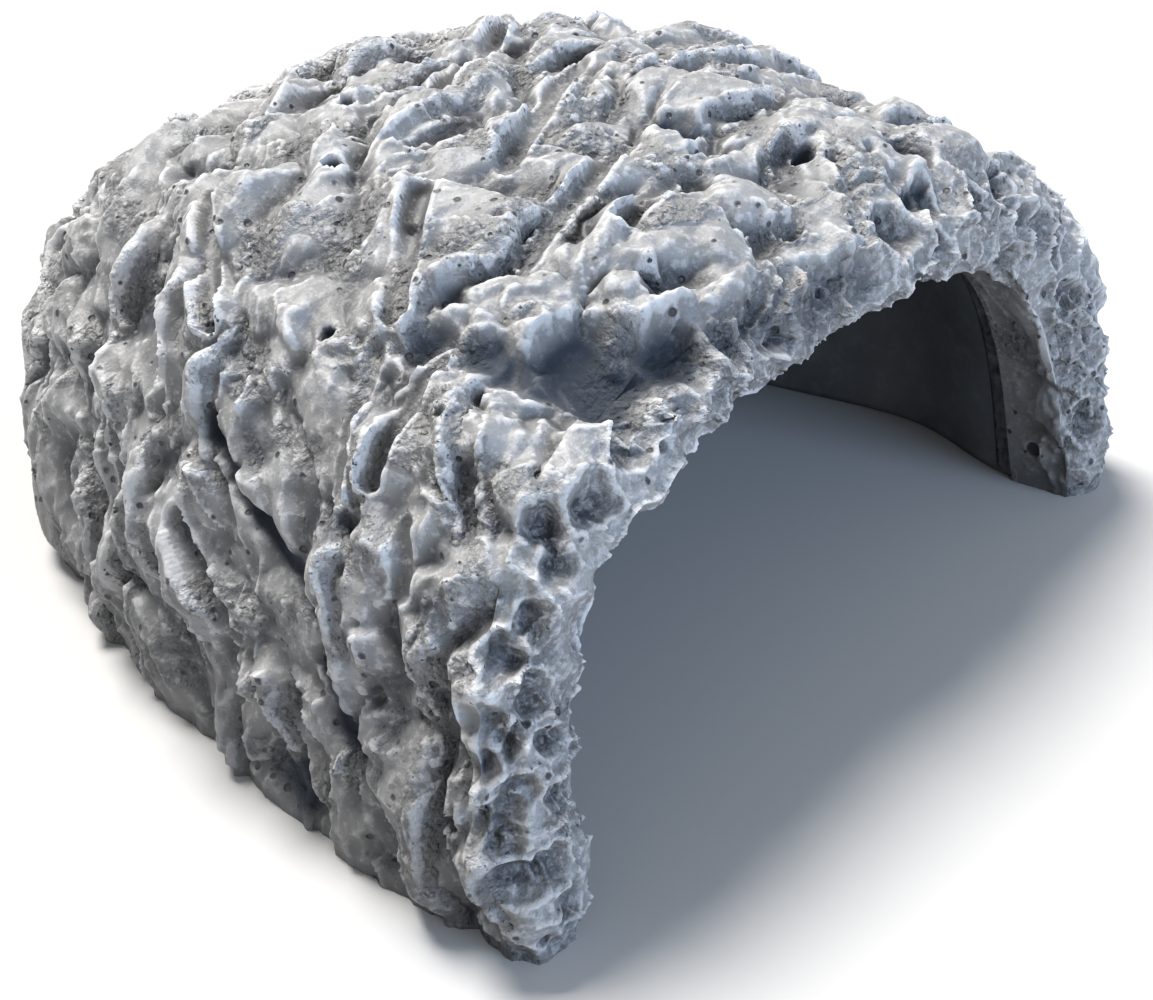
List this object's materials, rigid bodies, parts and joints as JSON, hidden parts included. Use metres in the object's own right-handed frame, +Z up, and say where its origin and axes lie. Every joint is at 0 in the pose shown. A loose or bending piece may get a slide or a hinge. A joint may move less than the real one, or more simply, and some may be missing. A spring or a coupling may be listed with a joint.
{
  "type": "aquarium cave ornament",
  "caption": "Hollow grey rock cave in cast resin with one wide arched mouth, a turned-in lip, a smooth dark lining and an open bottom.",
  "frame": {"origin": "middle of the footprint, on the surface the cave stands on", "axes": "the mouth faces -Y, the dome runs back along +Y, +Z is up, +X is to the right seen from the front"},
  "size_m": [0.2484, 0.2566, 0.1181],
  "materials": {
    "rock": "matte",
    "liner": "matte",
    "bead": "matte"
  },
  "bodies": {
    "root": {"rock_shell": "rock", "inner_liner": "liner", "seam_bead": "bead"}
  },
  "joints": []
}
